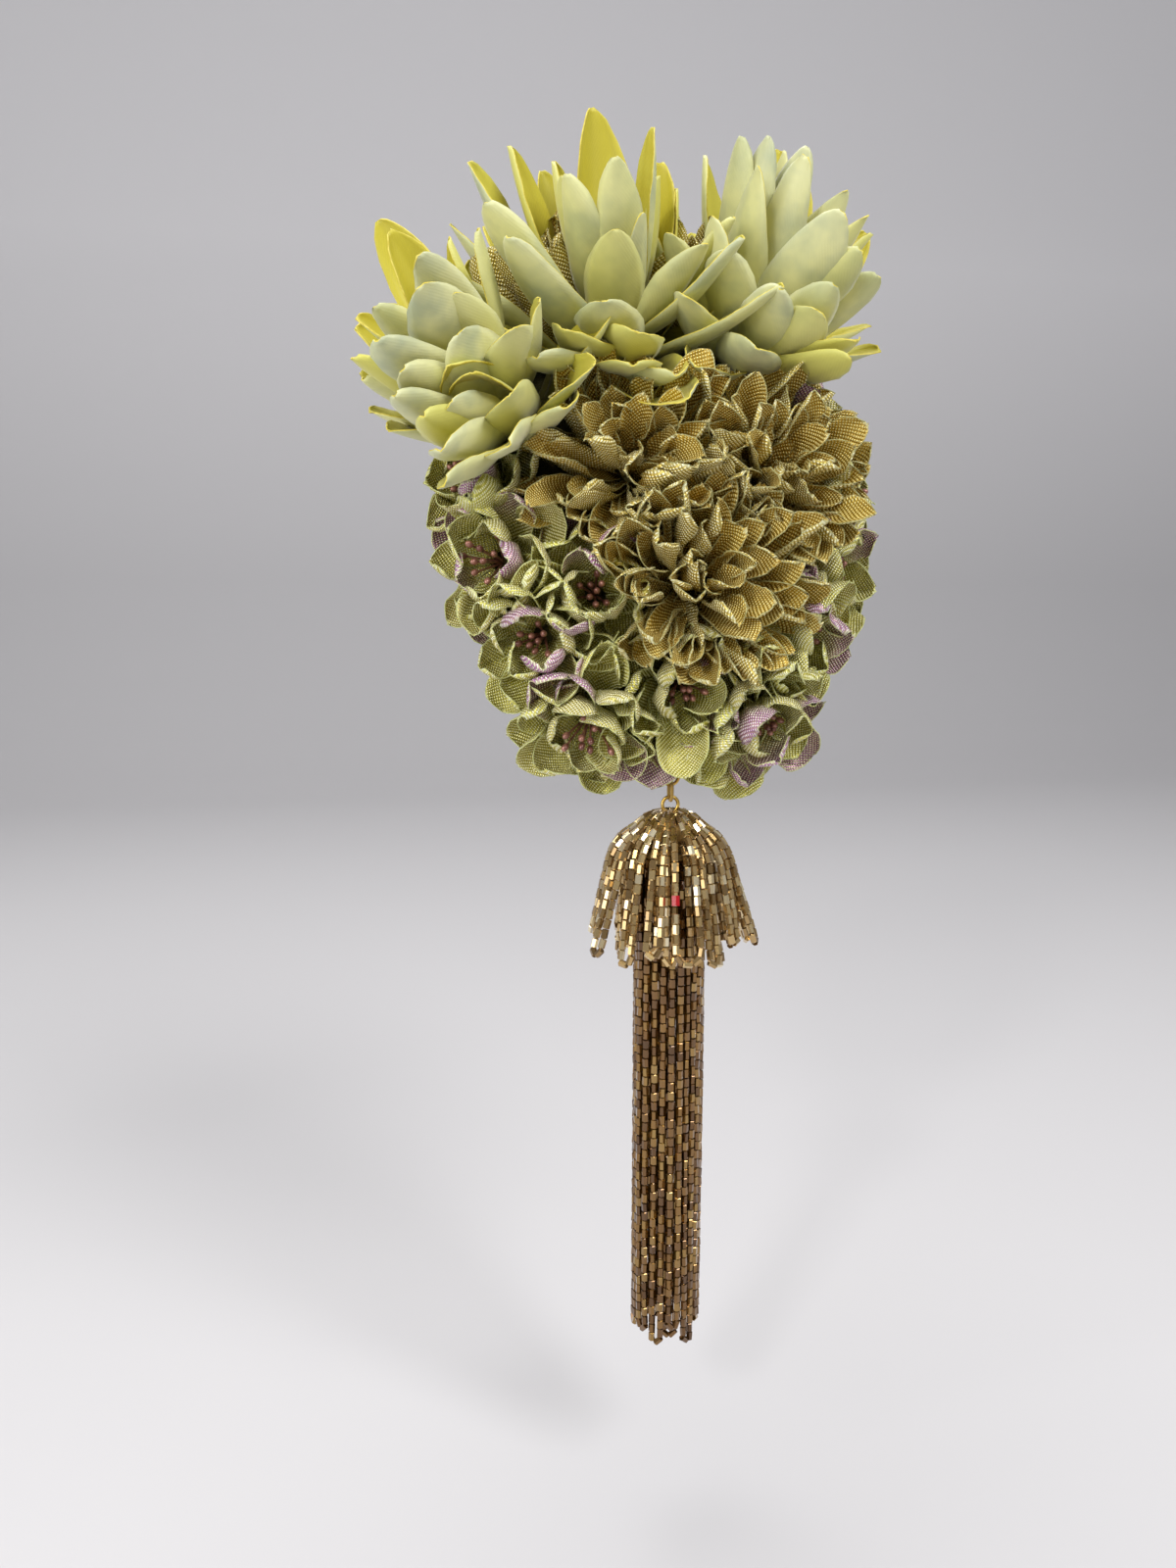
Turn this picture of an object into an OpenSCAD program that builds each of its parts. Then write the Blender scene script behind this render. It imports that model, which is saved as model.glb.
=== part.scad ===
// Fascinator headpiece. Cloth flower heads stand on a small stiff oval base that is
// curved to the side of the head. A hair comb is sewn beneath the base, and a beaded
// tassel hangs on a thread loop from a wire eye at the lower tip.
// The origin is the middle of the underside, where the base rests on the head.

/* [Base] */
// Radius of the side of the head that the base rests on
seat_r = 95; // [90:1:105]
// Width of the base across its middle
base_w = 84; // [82:1:92]
// Height of the base from its upper tip to its lower tip
base_h = 114; // [112:1:122]
// How far the middle of the base faces upwards, in degrees
face_up = 25; // [18:1:32]
// Thickness of the stiff shell
shell_t = 1.6; // [1.4:0.1:2.4]
// Thickness of the lining cloth under the shell
lining_t = 0.6; // [0.5:0.1:1]
// Thickness of the cover cloth over the shell
cover_t = 0.6; // [0.5:0.1:1]
// Diameter of the wire in the edge of the base
edge_wire_d = 1; // [0.8:0.1:1.2]
// Width of the binding round the edge
binding_w = 3.2; // [2.6:0.1:4]
// Thickness of the binding cloth
binding_t = 0.5; // [0.3:0.1:0.8]

/* [Comb] */
// Number of teeth on the comb
comb_teeth = 19; // [13:2:21]
// Distance from one comb tooth to the next
comb_pitch = 2.5; // [2.3:0.1:2.7]
// Length of a comb tooth along its curve
tooth_len = 32; // [24:1:38]
// Thickness of a comb tooth
tooth_d = 1.2; // [0.9:0.1:1.3]
// Thickness of the comb's back
comb_back_t = 2.4; // [2:0.1:2.8]
// Width of the comb's back
comb_back_w = 3.4; // [3:0.1:4]
// Gap between the teeth and the lining, for hair
hair_gap = 1.2; // [0.9:0.1:1.6]
// Distance along the curve from the middle of the base up to the comb's back
comb_up = 42; // [36:1:46]
// Number of stitches that hold the comb
comb_stitches_count = 6; // [3:1:8]
// Thickness of the sewing thread
thread_d = 0.7; // [0.5:0.1:0.8]

/* [Yellow flowers] */
// Length of an outer petal
yellow_len = 45; // [40:1:48]
// Width of an outer petal
yellow_w = 16.5; // [14:0.5:18]

/* [Gold flowers] */
// Length of an outer petal
gold_len = 27; // [24:1:29]
// Width of an outer petal
gold_w = 9.5; // [8:0.5:11]

/* [Florets] */
// Length of a floret petal
floret_len = 15; // [13:0.5:16.5]
// Width of a floret petal
floret_w = 14; // [12:0.5:15]
// Number of stamens in a floret
stamen_count = 6; // [4:1:7]
// Length of a stamen
stamen_len = 7.5; // [6:0.5:9]
// Diameter of the bead-like tip of a stamen
stamen_tip_d = 1.9; // [1.5:0.1:2.2]

/* [Petal cloth] */
// Thickness of a petal
petal_t = 0.7; // [0.5:0.1:0.9]
// Clear gap between the petals of neighbouring heads
petal_gap = 1; // [0.6:0.1:1.6]

/* [Tassel] */
// Width across a bead
bead_w = 1.9; // [1.6:0.1:2]
// Length of a bead
bead_len = 2.2; // [1.8:0.1:2.6]
// Number of loops in each tier of the bell
bell_loops = 10; // [7:1:10]
// Length of the straight fall of a bell loop
bell_fall = 17; // [13:0.5:20]
// Length of the skirt below its cap
skirt_len = 117; // [90:1:135]
// Radius of the outer ring of skirt strands
skirt_r = 7.5; // [7.4:0.1:8]
// Number of loops in the outer ring of the skirt
skirt_loops = 12; // [8:1:12]
// Radius of the cap that the bell loops leave
cap_r = 6.8; // [6.6:0.1:7.4]
// Diameter of the wire of the eye and of the eye pin
eye_wire_d = 0.8; // [0.7:0.1:0.9]
// Inner diameter of the eye and of the eye pin's ring
eye_hole_d = 2.8; // [2.6:0.1:3.2]
// Diameter of the thread loop's cord
loop_cord_d = 0.8; // [0.7:0.1:0.9]
// Inner length of the thread loop
loop_len = 3.6; // [3.2:0.1:5]

/* [Hidden] */

// the true curves are exact, and this only sets how finely they are drawn
$fn = 48;

// ---------- radii of the cloths, from the middle of the head ----------
lining_top = seat_r + lining_t;
shell_top = lining_top + shell_t;
cover_top = shell_top + cover_t;

// ---------- base ----------
// the oval outline has two round ends and straight sides
oval_end_r = base_w / 2;
oval_end_y = base_h / 2 - oval_end_r;
// the shell stops short of the edge, and the wire runs in the space left
edge_gap = 0.3;
wire_inset = binding_t + edge_wire_d / 2;
shell_inset = wire_inset + edge_wire_d / 2 + edge_gap;
wire_r = (lining_top + shell_top) / 2;
WIRE_BENDS = 28;
WIRE_STRAIGHTS = 3;
WIRE_SIDES = 8;

// ---------- comb ----------
comb_clear = 0.2;
comb_back_r = seat_r - comb_clear - comb_back_t / 2;
tooth_r = seat_r - hair_gap - tooth_d / 2;
comb_angle = to_angle(comb_up, seat_r);
comb_half_angle = asin((comb_pitch * (comb_teeth - 1) / 2 + 2) / comb_back_r);
stitch_r = norm([comb_back_t, comb_back_w]) / 2 + comb_clear + thread_d / 2;
stitch_hole_d = thread_d + 0.1;
// the teeth end in small balls that don't scratch
TOOTH_TIP = 1.3;

// ---------- flower heads ----------
YELLOW = 0;
GOLD = 1;
FLORET = 2;
// the share of the space between two heads that each kind takes
REACH = [21, 16, 10];
// the height above the base at which that space is shared out
SHARE_HEIGHT = [24, 14, 8];
// petals try to lean as far as they can, in these steps, and no less than the last
LEAN_STEP = 4;
// where a petal is tested: share of its length, and of its width on each side
CORNERS = [
    [0.1, 0], [0.25, 0], [0.4, 0], [0.6, 0], [1, 0],
    [0.2, 0.38], [0.35, 0.45], [0.6, 0.5], [0.85, 0.34],
];
LEAN_LEAST = 2;
// heads: name, kind, place as shares of half the base's width and half its height, and
// the lean outwards in degrees
PLACES = [
    ["yellow_top", YELLOW, -0.136, 0.635, 20],
    ["yellow_right", YELLOW, 0.560, 0.661, 20],
    ["yellow_left", YELLOW, -0.732, 0.350, 20],
    ["gold_right", GOLD, 0.484, 0.012, 4],
    ["gold_left", GOLD, -0.157, 0.031, 0],
    ["gold_front", GOLD, 0.100, -0.379, 0],
    ["gold_back", GOLD, 0.157, 0.824, 20],
    ["gold_crown", GOLD, -0.445, 0.736, 23],
    ["floret_01", FLORET, -0.832, 0.043, 30],
    ["floret_02", FLORET, -0.803, -0.251, 20],
    ["floret_03", FLORET, -0.621, -0.527, 20],
    ["floret_04", FLORET, -0.398, -0.806, 28],
    ["floret_05", FLORET, 0.034, -0.711, 16],
    ["floret_06", FLORET, 0.436, -0.795, 28],
    ["floret_07", FLORET, 0.621, -0.527, 20],
    ["floret_08", FLORET, 0.797, -0.261, 28],
    ["floret_09", FLORET, 0.869, 0.056, 32],
    ["floret_10", FLORET, 0.820, 0.349, 34],
    ["floret_11", FLORET, -0.381, -0.416, 4],
];
HEADS = [
    for (at = PLACES)
    let (x = at[2] * base_w / 2, y = at[3] * base_h / 2)
    [at[0], at[1], asin(norm([x, y]) / cover_top), atan2(y, x), at[4]]
];
// petal layers of each kind: part of the node's name, petals, length and width as a share
// of the outer petal, share of the outer lean, radius and height of the petal roots
LAYERS = [
    [
        ["_outer", 8, 1, 1, 1, 6, 3],
        ["_middle", 7, 0.92, 0.95, 0.62, 4.6, 7],
        ["_inner", 5, 0.76, 0.88, 0.23, 3.2, 11],
    ],
    [
        ["_outer", 12, 1, 1, 1, 5, 2.6],
        ["_middle", 10, 0.86, 0.95, 0.64, 3.9, 5.6],
        ["_inner", 7, 0.66, 0.85, 0.3, 2.8, 8.6],
    ],
    [["", 5, 1, 1, 1, 2.6, 3]],
];
// greatest lean of an outer petal, and the radius of the ball that it is pressed over
MOST_LEAN = [78, 82, 62];
BALL_R = [62, 34, 17];
// width of a petal's root as a share of the space for it, and of its widest part
ROOT_SHARE = 0.8;
WIDE_SHARE = 0.9;
// outline of each kind of petal: share of the length, share of the width there
OUTLINES = [
    [[0.2, 0.72], [0.4, 0.95], [0.58, 1], [0.75, 0.88], [0.9, 0.56], [1, 0.1]],
    [[0.25, 0.6], [0.5, 0.9], [0.7, 1], [0.86, 0.9], [0.96, 0.6], [1, 0.25]],
    [[0.2, 0.62], [0.45, 0.95], [0.65, 1], [0.83, 0.88], [0.95, 0.56], [1, 0.2]],
];
LAYER_COLOURS = [
    ["#d9dca0", "#cfcb63", "#c5b94a"],
    ["#8c7434", "#a58a3f", "#b89a48"],
    ["#a9b26a"],
];
hub_t = 0.8;
root_step = 1.2;
fit = 0.05;
petal_neck = 0.5;
flange_drop = 4;
stem_r = 1;
stalk_d = 0.45;

// ---------- tassel ----------
// the eye stands out from the lower tip, so that the bell hangs clear of the head
eye_out = 6;
eye_drop = 1.5;
plate_r = 3;
plate_t = 0.8;
// the plate is sewn down just inside the binding
plate_inset = binding_w + plate_r + 2.6;
plate_angle = asin((base_h / 2 - plate_inset) / seat_r);
tip_angle = asin(base_h / 2 / seat_r) - face_up;
eye_y = -(cover_top * cos(tip_angle) - seat_r * cos(face_up)) - eye_out;
eye_z = -(cover_top * sin(tip_angle) + seat_r * sin(face_up)) - eye_drop;
eye_ring_r = (eye_hole_d + eye_wire_d) / 2;
link_gap = 0.05;
link_step = (eye_wire_d + loop_cord_d) / 2 + link_gap;
// heights of the wires and of the cord where they hang in one another
eye_wire_z = eye_z - eye_ring_r;
loop_top_z = eye_wire_z + link_step;
loop_bottom_z = loop_top_z - loop_len - loop_cord_d;
pin_wire_z = loop_bottom_z + link_step;
pin_ring_z = pin_wire_z - eye_ring_r;
loop_side_r = (loop_len * 0.62 + loop_cord_d) / 2;
cap_z = pin_ring_z - eye_ring_r - eye_wire_d / 2 - 0.2;
cap_neck_h = 5.6;
cap_flange_z = 7.4;
cap_flange_t = 1.4;
cap_flange_r = skirt_r + edge_gap;
pin_head_r = 1.8;
// tiers of the bell: depth of the start under the cap's top, first and last slope, bend
BELL_TIERS = [
    [1.9, 14, 76, 11],
    [4.6, 26, 82, 8],
];
// the thread shows as a narrow round neck where beads of different slope meet
joint_gap = 0.12;
joint_share = 0.6;
RED_LOOP = 7;
red_bead_at = 5;
inner_skirt_r = skirt_r - bead_w * 1.45;
inner_skirt_loops = floor(skirt_loops / 2);

// ---------- functions ----------
function to_angle(arc, radius) = arc / radius * 180 / PI;

function turn_y(a, p) = [p.x * cos(a) + p.z * sin(a), p.y, p.z * cos(a) - p.x * sin(a)];

function turn_z(a, p) = [p.x * cos(a) - p.y * sin(a), p.x * sin(a) + p.y * cos(a), p.z];

// a point of a head's own frame, in the frame of the base
function placed(head, p) =
    let (q = turn_y(head[4], p) + [0, 0, cover_top])
    turn_z(head[3], turn_y(head[2], q)) - [0, 0, seat_r];

function share_point(head) = placed(head, [0, 0, SHARE_HEIGHT[head[1]]]);

// the plane between two heads: its normal, pointing away from the first, and its offset
function plane_between(a, b) =
    let (
        pa = share_point(a),
        pb = share_point(b),
        n = (pb - pa) / norm(pb - pa),
        share = REACH[a[1]] / (REACH[a[1]] + REACH[b[1]])
    )
    [n, (pa + (pb - pa) * share) * n];

function planes_round(head) = [for (other = HEADS) if (other[0] != head[0]) plane_between(head, other)];

function outer_len(kind) = [yellow_len, gold_len, floret_len][kind];

function outer_w(kind) = [yellow_w, gold_w, floret_w][kind];

// a point of a petal, from its share of the length and its distance from the midline
function petal_point(len, ball_r, share, side) =
    let (a = to_angle(len * share, ball_r), r = sqrt(ball_r * ball_r - side * side))
    [r * cos(a) - ball_r, side, r * sin(a)];

function on_head(p, turn, lean, root_r, root_z) = turn_z(turn, turn_y(lean, p) + [root_r, 0, root_z]);

// does an outer petal at this turn and lean stay on its own side of every plane?
function petal_fits(head, planes, turn, lean) =
    let (
        kind = head[1],
        len = outer_len(kind),
        w = outer_w(kind),
        root_lean = lean + to_angle(len, BALL_R[kind]) / 2,
        layer = LAYERS[kind][0],
        points = [
            for (at = CORNERS, side = [-1, 1])
            let (p = petal_point(len, BALL_R[kind], at[0], side * at[1] * w))
            placed(head, on_head(p, turn, root_lean, layer[5], layer[6]))
        ],
        inside = [for (plane = planes) max([for (p = points) p * plane[0]]) - plane[1]],
        off_base = min([for (p = points) norm(p + [0, 0, seat_r])]) - cover_top - binding_t
    )
    max(inside) < -petal_gap / 2 && off_base > petal_gap / 2;

// the greatest lean that fits, from the kind's own lean downwards
function fitting_lean(head, planes, turn) =
    max([
        for (lean = [LEAN_LEAST : LEAN_STEP : MOST_LEAN[head[1]]])
        if (lean == LEAN_LEAST || petal_fits(head, planes, turn, lean)) lean
    ]);

// ---------- frames ----------
module on_face() {
    rotate([90 - face_up, 0, 0]) children();
}

module at_head_centre() {
    on_face() translate([0, 0, -seat_r]) children();
}

module at_head(head) {
    at_head_centre()
        rotate([0, 0, head[3]])
        rotate([0, head[2], 0])
        translate([0, 0, cover_top])
        rotate([0, head[4], 0])
        children();
}

// ---------- base ----------
module oval(inset) {
    r = oval_end_r - inset;
    for (side = [-1, 1])
        translate([0, side * oval_end_y]) circle(r);
    square([2 * r, 2 * oval_end_y], center = true);
}

// a cloth of the base: a layer of the head's sphere inside the oval outline
module cloth(inner_r, outer_r, inset) {
    at_head_centre()
        intersection() {
            difference() {
                sphere(outer_r);
                sphere(inner_r);
            }
            linear_extrude(outer_r + edge_gap) oval(inset);
        }
}

module base_shell() {
    color("#d8cfae") cloth(lining_top, shell_top, shell_inset);
}

module base_lining() {
    color("#c9b88a")
        difference() {
            cloth(seat_r, lining_top, binding_t);
            for (i = [0 : comb_stitches_count - 1])
                at_stitch(i) stitch_legs(stitch_hole_d, lining_t * 3);
        }
}

module base_cover() {
    color("#8c7434") cloth(shell_top, cover_top, binding_t);
}

// the wire bends round the edge of the shell
module edge_wire() {
    // places round the oval: the turns of each end, then a few along the straight side
    r = oval_end_r - wire_inset;
    places = [
        for (end = [0, 1]) each concat(
            [
                for (i = [0 : WIRE_BENDS])
                let (turn = (end + i / WIRE_BENDS) * 180)
                [[r * cos(turn), r * sin(turn) + (1 - 2 * end) * oval_end_y], turn]
            ],
            [
                for (i = [1 : WIRE_STRAIGHTS])
                let (y = oval_end_y * (1 - 2 * i / (WIRE_STRAIGHTS + 1)))
                [[r, -y] * (2 * end - 1), (end + 1) * 180]
            ]
        ),
    ];
    rings = [
        for (place = places)
        let (
            flat = place[0],
            up = sqrt(wire_r * wire_r - flat * flat),
            centre = [flat.x, flat.y, up],
            out = centre / wire_r,
            side = cross([-sin(place[1]), cos(place[1]), 0], out),
            across = side / norm(side)
        )
        [
            for (k = [0 : WIRE_SIDES - 1])
            let (a = k * 360 / WIRE_SIDES)
            centre + (across * cos(a) + out * sin(a)) * edge_wire_d / 2
        ]
    ];
    points = [for (ring = rings) each ring];
    count = len(points);
    faces = [
        for (i = [0 : len(rings) - 1], k = [0 : WIRE_SIDES - 1])
        let (
            here = i * WIRE_SIDES + k,
            beside = i * WIRE_SIDES + (k + 1) % WIRE_SIDES
        )
        [here, beside, (beside + WIRE_SIDES) % count, (here + WIRE_SIDES) % count]
    ];
    color("#9a9a9a") at_head_centre() polyhedron(points, faces, convexity = 6);
}

module edge_binding() {
    color("#6f7a3a")
        difference() {
            cloth(seat_r - binding_t, cover_top + binding_t, 0);
            cloth(seat_r, cover_top, binding_t);
            cloth(seat_r - 2 * binding_t, cover_top + 2 * binding_t, binding_w);
        }
}

// ---------- comb ----------
module in_comb_plane() {
    at_head_centre() rotate([-comb_angle, 0, 0]) children();
}

module hair_comb() {
    color("#3a2f28") {
        in_comb_plane()
            rotate([90, 0, 0])
            rotate([0, 0, 90 - comb_half_angle])
            rotate_extrude(angle = 2 * comb_half_angle)
            translate([comb_back_r, 0])
            square([comb_back_t, comb_back_w], center = true);
        for (i = [0 : comb_teeth - 1])
            comb_tooth((i - (comb_teeth - 1) / 2) * comb_pitch);
    }
}

module comb_tooth(x) {
    r = sqrt(tooth_r * tooth_r - x * x);
    sweep = to_angle(tooth_len, seat_r);
    at_head_centre()
        translate([x, 0, 0])
        rotate([0, 90, 0])
        rotate([0, 0, 180 - comb_angle]) {
            rotate_extrude(angle = sweep) translate([r, 0]) circle(d = tooth_d);
            rotate([0, 0, sweep]) translate([r, 0, 0]) sphere(d = TOOTH_TIP * tooth_d);
        }
}

// the frame of a stitch: x along the comb's back, z away from the head's middle
module at_stitch(i) {
    slot = floor((i + 0.5) * (comb_teeth - 1) / comb_stitches_count);
    x = (slot + 0.5 - (comb_teeth - 1) / 2) * comb_pitch;
    in_comb_plane()
        rotate([0, asin(x / comb_back_r), 0])
        translate([0, 0, comb_back_r])
        children();
}

module stitch_legs(d, past_lining) {
    for (side = [-1, 1])
        translate([0, side * stitch_r, 0]) cylinder(d = d, h = seat_r - comb_back_r + past_lining);
}

module comb_stitches() {
    color("#cfc79a")
        for (i = [0 : comb_stitches_count - 1])
            at_stitch(i) {
                stitch_legs(thread_d, lining_t / 2);
                rotate([0, 90, 0])
                    rotate([0, 0, -90])
                    rotate_extrude(angle = 180)
                    translate([stitch_r, 0])
                    circle(d = thread_d);
            }
}

// ---------- petals ----------
// a petal rises along z from its root and is hollow towards -x, as if pressed over a ball
module petal(kind, len, w, root_w) {
    ball_r = BALL_R[kind];
    height = ball_r * sin(to_angle(len, ball_r));
    intersection() {
        translate([-ball_r, 0, 0])
            rotate([0, 0, 180])
            difference() {
                sphere(ball_r);
                sphere(ball_r - petal_t);
            }
        translate([-ball_r, 0, 0])
            rotate([90, 0, 90])
            linear_extrude(2 * ball_r)
            petal_outline(OUTLINES[kind], height, w, root_w);
    }
}

module petal_outline(shares, height, w, root_w) {
    side = [for (at = shares) [at[1] * w / 2, at[0] * height]];
    last = len(side) - 1;
    polygon([
        [-root_w / 2, -petal_neck],
        [root_w / 2, -petal_neck],
        each side,
        for (i = [last : -1 : 0]) [-side[i].x, side[i].y],
    ]);
}

// the radius of the stem just above a layer's hub, on which the next layer sits
function shoulder_r(kind, i) =
    i < len(LAYERS[kind]) - 1 ? LAYERS[kind][i + 1][5] - root_step : stem_r;

// one cut and pressed layer of a head: its petals on a ring that is threaded on the stem
module petal_layer(head, i) {
    kind = head[1];
    layer = LAYERS[kind][i];
    planes = planes_round(head);
    petal_len = outer_len(kind) * layer[2];
    petal_w = outer_w(kind) * layer[3];
    color(LAYER_COLOURS[kind][i])
        at_head(head)
        difference() {
            union() {
                translate([0, 0, layer[6]]) cylinder(r = layer[5] + petal_neck, h = hub_t);
                for (k = [0 : layer[1] - 1]) {
                    turn = (k + i / 2) * 360 / layer[1];
                    // the petals of an upper layer stay inside the layer below
                    spread = i == 0 ? 0 : 180 / layer[1];
                    leans = [
                        for (side = i == 0 ? [0] : [-1 : 0.5 : 1])
                        fitting_lean(head, planes, turn + side * spread)
                    ];
                    lean = min(leans) * layer[4];
                    // a petal that is crowded upright is pressed narrower
                    space = 2 * tan(180 / layer[1]);
                    wide_r = layer[5] + petal_len / 2 * sin(lean);
                    rotate([0, 0, turn])
                        translate([layer[5], 0, layer[6]])
                        rotate([0, lean + to_angle(petal_len, BALL_R[kind]) / 2, 0])
                        petal(
                            kind,
                            petal_len,
                            min(petal_w, WIDE_SHARE * space * wide_r),
                            ROOT_SHARE * space * layer[5]
                        );
                }
            }
            cylinder(r = shoulder_r(kind, i) + fit, h = 3 * layer[6]);
        }
}

// the stem is turned in steps, so that each layer's ring rests on a shoulder
module stem(head) {
    kind = head[1];
    layers = LAYERS[kind];
    last = len(layers) - 1;
    foot_r = layers[0][5] - root_step;
    at_head(head)
        rotate_extrude()
        polygon([
            [0, -flange_drop],
            [foot_r, -flange_drop],
            [foot_r, layers[0][6]],
            for (i = [0 : last])
                each [
                    [shoulder_r(kind, i), layers[i][6]],
                    [shoulder_r(kind, i), i < last ? layers[i + 1][6] : layers[i][6] + 2 * hub_t],
                ],
            [0, layers[last][6] + 2 * hub_t],
        ]);
}

// stems are glued down, so their feet take the curve of the cover
module glued_down() {
    difference() {
        children();
        at_head_centre() sphere(cover_top, $fn = 180);
    }
}

module yellow_stems() {
    color("#7c8446")
        glued_down()
        for (head = HEADS) if (head[1] == YELLOW) stem(head);
}

module gold_stems() {
    color("#6d6130")
        glued_down()
        for (head = HEADS) if (head[1] == GOLD) stem(head);
}

// a floret's stem is the bundle of its stamens, which fan out above the petals
module floret_stamens() {
    color("#9a6a62")
        glued_down()
        for (head = HEADS) if (head[1] == FLORET) {
            stem(head);
            at_head(head) stamens(LAYERS[FLORET][0][6] + hub_t);
        }
}

module stamens(from_z) {
    for (k = [0 : stamen_count - 1])
        rotate([0, 0, k * 360 / stamen_count])
            translate([0, 0, from_z])
            translate([0.55 * stem_r, 0, 0])
            rotate([0, k % 2 == 0 ? 15 : 6, 0]) {
                cylinder(d = stalk_d, h = stamen_len);
                translate([0, 0, stamen_len]) sphere(d = stamen_tip_d);
            }
}

// ---------- tassel ----------
module ring(hole_d, wire_d) {
    rotate_extrude() translate([(hole_d + wire_d) / 2, 0]) circle(d = wire_d);
}

// a wire eye whose shank is soldered to a small plate, sewn to the cover
module tassel_eye() {
    plate_top = cover_top + plate_t;
    plate_lat = plate_angle - face_up;
    foot = [
        -(plate_top - plate_t / 2) * cos(plate_lat) + seat_r * cos(face_up),
        -(plate_top - plate_t / 2) * sin(plate_lat) - seat_r * sin(face_up),
    ];
    reach = [eye_y - foot.x, eye_z + eye_ring_r - foot.y];
    color("#b08d3c") {
        translate([0, eye_y, eye_z]) rotate([90, 0, 0]) ring(eye_hole_d, eye_wire_d);
        difference() {
            union() {
                translate([0, foot.x, foot.y])
                    rotate([atan2(-reach.x, reach.y), 0, 0])
                    cylinder(d = eye_wire_d, h = norm(reach));
                at_head_centre()
                    rotate([plate_angle, 0, 0])
                    translate([0, 0, cover_top])
                    cylinder(r = plate_r, h = plate_t);
            }
            at_head_centre()
                rotate([plate_angle, 0, 0])
                for (x = [-1, 1], y = [-1, 1])
                    translate([x, y, 0] * plate_r / 2) cylinder(d = thread_d, h = 2 * cover_top);
        }
    }
}

// a closed loop of cord, hanging in the eye
module thread_loop() {
    straight = loop_bottom_z + loop_side_r;
    color("#a8873a")
        translate([0, eye_y, 0]) {
            for (end = [0, 1])
                translate([0, 0, end == 0 ? loop_top_z - loop_side_r : straight])
                    rotate([0, 90, 0])
                    rotate([0, 0, end == 0 ? 90 : -90])
                    rotate_extrude(angle = 180)
                    translate([loop_side_r, 0])
                    circle(d = loop_cord_d);
            for (side = [-1, 1])
                translate([0, side * loop_side_r, straight])
                    cylinder(d = loop_cord_d, h = loop_top_z - loop_side_r - straight);
        }
}

module on_tassel() {
    translate([0, eye_y, cap_z]) children();
}

// the pin's ring hangs in the thread loop, and its shank runs down through the cap
module tassel_eye_pin() {
    shank = cap_flange_z + cap_flange_t;
    color("#b08d3c") {
        translate([0, eye_y, pin_ring_z]) rotate([90, 0, 0]) ring(eye_hole_d, eye_wire_d);
        on_tassel()
            translate([0, 0, -shank - hub_t])
            cylinder(d = eye_wire_d, h = pin_ring_z - eye_ring_r - cap_z + shank + hub_t);
        on_tassel() translate([0, 0, -shank - hub_t]) cylinder(r = pin_head_r, h = hub_t);
    }
}

// a domed cap with a neck, which the bell loops leave, and a flange for the skirt
module tassel_cap() {
    dome_r = 2 * cap_r;
    color("#8c6c2c")
        on_tassel()
        difference() {
            union() {
                intersection() {
                    translate([0, 0, -dome_r]) sphere(dome_r);
                    translate([0, 0, -cap_neck_h]) cylinder(r = cap_r, h = cap_neck_h);
                }
                translate([0, 0, -cap_flange_z]) cylinder(r = cap_r, h = cap_flange_z - cap_neck_h);
                translate([0, 0, -cap_flange_z - cap_flange_t])
                    cylinder(r = cap_flange_r, h = cap_flange_t);
            }
            translate([0, 0, -2 * cap_flange_z]) cylinder(d = eye_wire_d + 2 * fit, h = 3 * cap_flange_z);
        }
}

// one strand of six-sided beads, bent from slope to slope and then straight
module bell_leg(tier) {
    first = tier[1];
    last = tier[2];
    bend = tier[3];
    start_r = cap_r - bead_w / 2;
    end = leg_end(tier);
    translate([start_r, 0, -tier[0]])
        rotate([0, first, 0])
        translate([0, 0, -bend])
        rotate([-90, 0, 0])
        rotate([0, 0, -90])
        rotate_extrude(angle = last - first)
        translate([bend, 0])
        circle(d = bead_w, $fn = 6);
    translate([end.x, 0, end.y])
        rotate([0, 90 + last, 0])
        translate([0, 0, joint_gap])
        cylinder(d = bead_w, h = bell_fall - 2 * joint_gap, $fn = 6);
}

// where the bend of a bell strand ends, as a radius and a height under the cap's top
function leg_end(tier) = [
    cap_r - bead_w / 2 + tier[3] * (sin(tier[2]) - sin(tier[1])),
    -tier[0] - tier[3] * (cos(tier[1]) - cos(tier[2])),
];

// where the straight fall ends
function fall_end(tier) = leg_end(tier) + bell_fall * [cos(tier[2]), -sin(tier[2])];

module bell_loop(tier) {
    half = 90 / bell_loops;
    low = fall_end(tier);
    turn_r = low.x * sin(half);
    for (side = [-1, 1])
        rotate([0, 0, side * half]) {
            bell_leg(tier);
            for (joint = [leg_end(tier), low])
                translate([joint.x, 0, joint.y]) sphere(d = joint_share * bead_w);
        }
    translate([low.x * cos(half), 0, low.y])
        rotate([0, tier[2] - 90, 0])
        rotate([0, 90, 0])
        rotate([0, 0, -90])
        rotate_extrude(angle = 180)
        translate([turn_r, 0])
        circle(d = bead_w, $fn = 6);
}

module bell_tier(index) {
    difference() {
        for (k = [0 : bell_loops - 1])
            rotate([0, 0, (k + index / 2) * 360 / bell_loops]) bell_loop(BELL_TIERS[index]);
        translate([0, 0, -cap_flange_z]) cylinder(r = cap_r, h = 2 * cap_flange_z);
    }
}

// the place of the one red bead, on a strand at the front of the upper tier
module at_red_bead() {
    end = leg_end(BELL_TIERS[0]);
    rotate([0, 0, (RED_LOOP + 0.25) * 360 / bell_loops])
        translate([end.x, 0, end.y])
        rotate([0, 90 + BELL_TIERS[0][2], 0])
        translate([0, 0, red_bead_at])
        children();
}

module bell_upper_loops() {
    color("#c2a365")
        on_tassel()
        difference() {
            bell_tier(0);
            at_red_bead() cylinder(d = 2 * bead_w, h = bead_len);
        }
}

module bell_lower_loops() {
    color("#b8985a") on_tassel() bell_tier(1);
}

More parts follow.
